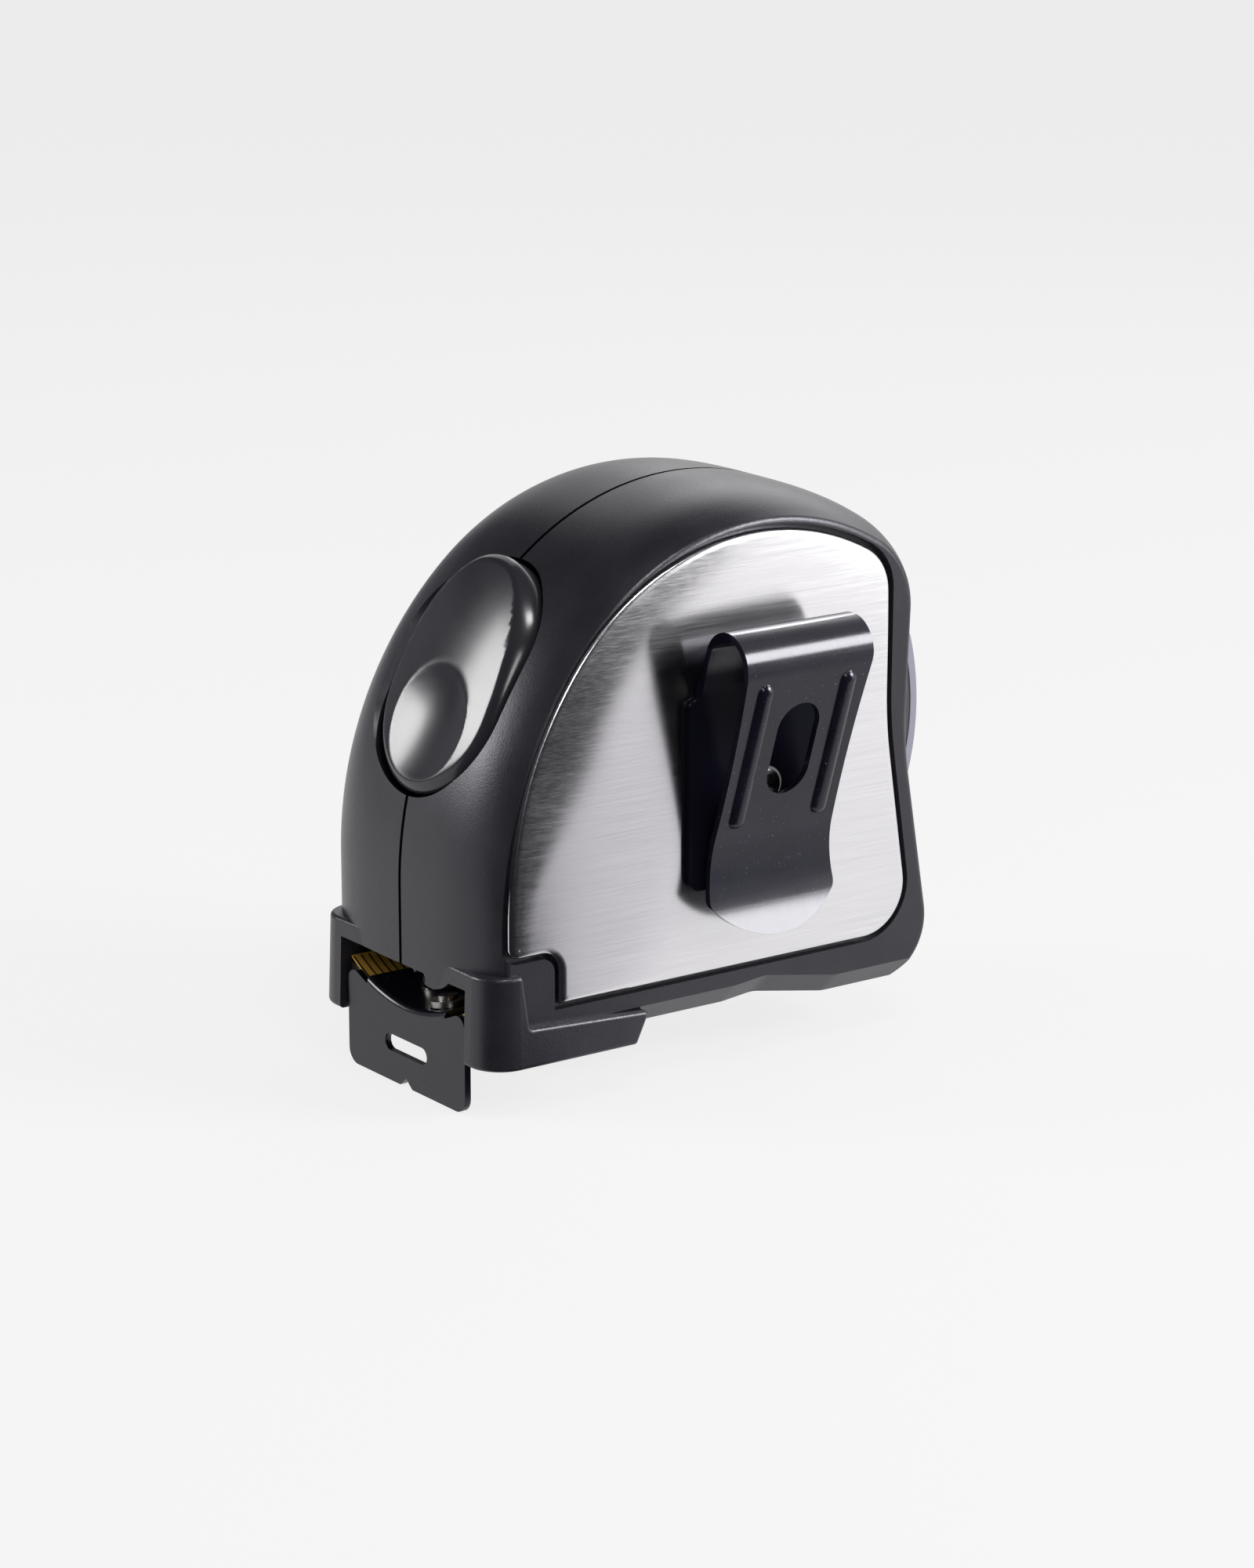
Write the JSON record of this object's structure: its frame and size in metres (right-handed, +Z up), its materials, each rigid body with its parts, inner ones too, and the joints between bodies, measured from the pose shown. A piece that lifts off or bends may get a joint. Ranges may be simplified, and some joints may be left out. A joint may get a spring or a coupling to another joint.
{
  "type": "tape measure",
  "caption": "Pocket tape measure with a moulded two-half case, brushed steel sides, lock button, belt clip and a dished blade ending in a riveted hook.",
  "frame": {"origin": "front face of the end hook, the zero of the scale, on the mid-plane and level with the foot", "axes": "+X out of the mouth along the blade, +Y to the belt clip's side, +Z up"},
  "size_m": [0.0688, 0.0455, 0.0671],
  "materials": {
    "case_plastic": "fine matte grain",
    "panel_steel": "brushed lengthways, rolled edge",
    "black_steel": "satin black",
    "screw_steel": "plated",
    "bar_steel": "plain",
    "button_plastic": "gloss",
    "inner_plastic": "plain moulding",
    "guide_plastic": "plain moulding",
    "pad_rubber": "matte",
    "spring_steel": "plain spring steel",
    "rivet_steel": "plain",
    "blade_steel": "yellow lacquer with a printed scale"
  },
  "bodies": {
    "case": {"left_case_half": "case_plastic", "right_case_half": "case_plastic", "left_side_panel": "panel_steel", "right_side_panel": "panel_steel", "belt_clip": "black_steel", "clip_screw": "screw_steel", "case_screws": "screw_steel", "strap_bar": "bar_steel", "button_pin": "spring_steel", "blade_guide": "guide_plastic", "centre_post": "inner_plastic", "power_spring": "spring_steel"},
    "button": {"lock_button": "button_plastic", "lock_lever": "inner_plastic", "brake_pad": "pad_rubber", "button_spring": "spring_steel"},
    "reel": {"blade_coil": "blade_steel", "reel_drum": "inner_plastic", "drum_cover": "inner_plastic", "left_reel_liner": "guide_plastic", "right_reel_liner": "guide_plastic"},
    "blade": {"blade": "blade_steel", "hook_rivets": "rivet_steel"},
    "hook": {"end_hook": "black_steel"}
  },
  "joints": [
    {"name": "reel_spin", "type": "hinge", "parent": "case", "child": "reel", "pos_m": [-0.03651, 0, 0.028], "axis": [0, 1, 0], "range_deg": [-74.9, 0], "stiffness_Nm_per_rad": 0.004, "springref_deg": 114.59, "deforming": ["power_spring"]},
    {"name": "blade_pull", "type": "slide", "parent": "case", "child": "blade", "axis": [1, 0, 0], "range_m": [0, 0.028]},
    {"name": "hook_float", "type": "slide", "parent": "blade", "child": "hook", "axis": [1, 0, 0], "range_m": [0, 0.001]},
    {"name": "button_press", "type": "hinge", "parent": "case", "child": "button", "pos_m": [-0.01683, 0, 0.04666], "axis": [0, 1, 0], "range_deg": [0, 4], "stiffness_Nm_per_rad": 0.6, "springref_deg": -5.73, "deforming": ["button_spring"]}
  ],
  "couplings": [
    {"joint": "blade_pull", "follows": "reel_spin", "m_per_rad": -0.0214}
  ]
}
